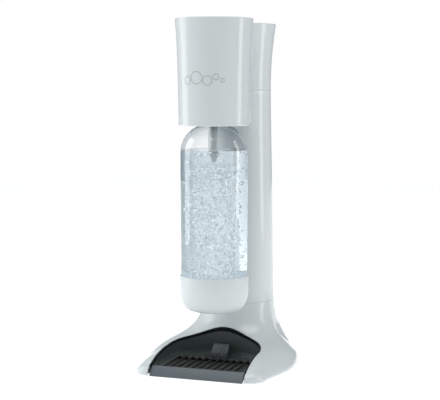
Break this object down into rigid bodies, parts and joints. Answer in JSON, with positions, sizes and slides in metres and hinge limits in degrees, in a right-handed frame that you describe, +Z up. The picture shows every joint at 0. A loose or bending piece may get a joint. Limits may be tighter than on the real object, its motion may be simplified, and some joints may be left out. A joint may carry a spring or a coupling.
{
  "type": "soda carbonator",
  "caption": "Table-top soda carbonator: a round tower with a gas cylinder, a tilting head with a push button, a clear bottle and a flared base with a drip tray.",
  "frame": {"origin": "on the table, under the middle of the base", "axes": "+X to the machine's right as seen from the front, -Y towards the user, +Z up"},
  "size_m": [0.1936, 0.239, 0.438],
  "materials": {
    "white_shell": "glossy moulded white",
    "white_cup": "satin white, moulded",
    "dark_plastic": "fine-textured dark grey",
    "brown_black_plastic": "near-black, brown tint",
    "grey_satin": "satin blue-grey",
    "grey_plastic": "moulded mid grey",
    "clear_bottle": "clear PET",
    "black_rubber": "matte black",
    "steel": "plain",
    "brass": "machined",
    "aluminium": "satin"
  },
  "bodies": {
    "frame": {"base_shell": "white_shell", "base_plate": "dark_plastic", "foot_front_left": "black_rubber", "foot_front_right": "black_rubber", "foot_rear_left": "black_rubber", "foot_rear_right": "black_rubber", "base_screw_front_left": "steel", "base_screw_front_right": "steel", "base_screw_rear_left": "steel", "base_screw_rear_right": "steel", "recess_liner": "dark_plastic", "column_shell": "white_shell", "tower_cap": "white_shell", "bridge_housing": "white_shell", "support_frame": "steel", "valve_holder": "aluminium", "cylinder_gasket": "black_rubber", "lever_pin": "steel", "pivot_pin_left": "steel", "pivot_pin_right": "steel", "gas_pipe": "brass", "cylinder_rest": "grey_plastic"},
    "cover": {"rear_cover": "white_shell"},
    "cylinder": {"gas_cylinder": "aluminium", "cylinder_valve": "brass"},
    "valve_pin": {"valve_pin": "steel"},
    "lever": {"carbonation_lever": "steel"},
    "head": {"head_shroud": "white_shell", "neck_collar": "grey_plastic", "nozzle_block": "grey_plastic", "neck_gasket": "black_rubber", "nozzle_tube": "grey_plastic", "nozzle_tip": "grey_plastic", "head_frame": "aluminium", "frame_screw_left": "steel", "frame_screw_right": "steel", "relief_valve": "brass", "hose_fitting": "brass", "swivel_union": "brass", "gas_hose": "black_rubber", "button_guide": "grey_plastic", "button_spring": "steel"},
    "button": {"carbonation_button": "white_shell", "button_stem": "grey_plastic"},
    "jaw_left": {"snap_jaw_left": "grey_plastic"},
    "jaw_right": {"snap_jaw_right": "grey_plastic"},
    "bottle": {"bottle": "clear_bottle", "base_cup": "white_cup"},
    "tray": {"drip_tray": "dark_plastic", "tray_front": "grey_satin", "tray_tab": "dark_plastic"},
    "grille": {"drip_grille": "brown_black_plastic"}
  },
  "joints": [
    {"name": "rear_cover_pull", "type": "slide", "parent": "frame", "child": "cover", "axis": [0, 1, 0], "range_m": [0, 0.06]},
    {"name": "cylinder_lower", "type": "slide", "parent": "frame", "child": "cylinder", "axis": [0, 0, -1], "range_m": [0, 0.008]},
    {"name": "valve_pin_press", "type": "slide", "parent": "cylinder", "child": "valve_pin", "axis": [0, 0, -1], "range_m": [0, 0.0016]},
    {"name": "lever_rock", "type": "hinge", "parent": "frame", "child": "lever", "pos_m": [0, 0.09, 0.376], "axis": [1, 0, 0], "range_deg": [0, 3]},
    {"name": "head_tilt", "type": "hinge", "parent": "frame", "child": "head", "pos_m": [0, 0.01, 0.374], "axis": [-1, 0, 0], "range_deg": [0, 6.5]},
    {"name": "button_press", "type": "slide", "parent": "head", "child": "button", "axis": [0, 0, -1], "range_m": [0, 0.007], "stiffness_N_per_m": 1200, "springref_m": -0.002, "deforming": ["button_spring"]},
    {"name": "jaw_left_open", "type": "slide", "parent": "head", "child": "jaw_left", "axis": [-1, 0, 0], "range_m": [0, 0.0025], "stiffness_N_per_m": 600, "springref_m": -0.001},
    {"name": "jaw_right_open", "type": "slide", "parent": "head", "child": "jaw_right", "axis": [1, 0, 0], "range_m": [0, 0.0025], "stiffness_N_per_m": 600, "springref_m": -0.001},
    {"name": "bottle_drop", "type": "slide", "parent": "head", "child": "bottle", "axis": [0, 0, -1], "range_m": [0, 0.036]},
    {"name": "tray_slide", "type": "slide", "parent": "frame", "child": "tray", "axis": [0, -1, 0], "range_m": [0, 0.11]},
    {"name": "grille_lift", "type": "slide", "parent": "tray", "child": "grille", "axis": [0, 0, 1], "range_m": [0, 0.015]}
  ],
  "couplings": [
    {"joint": "lever_rock", "follows": "button_press", "rad_per_m": 7.4074},
    {"joint": "valve_pin_press", "follows": "button_press", "ratio": 0.2222},
    {"joint": "jaw_right_open", "follows": "jaw_left_open", "ratio": 1}
  ]
}
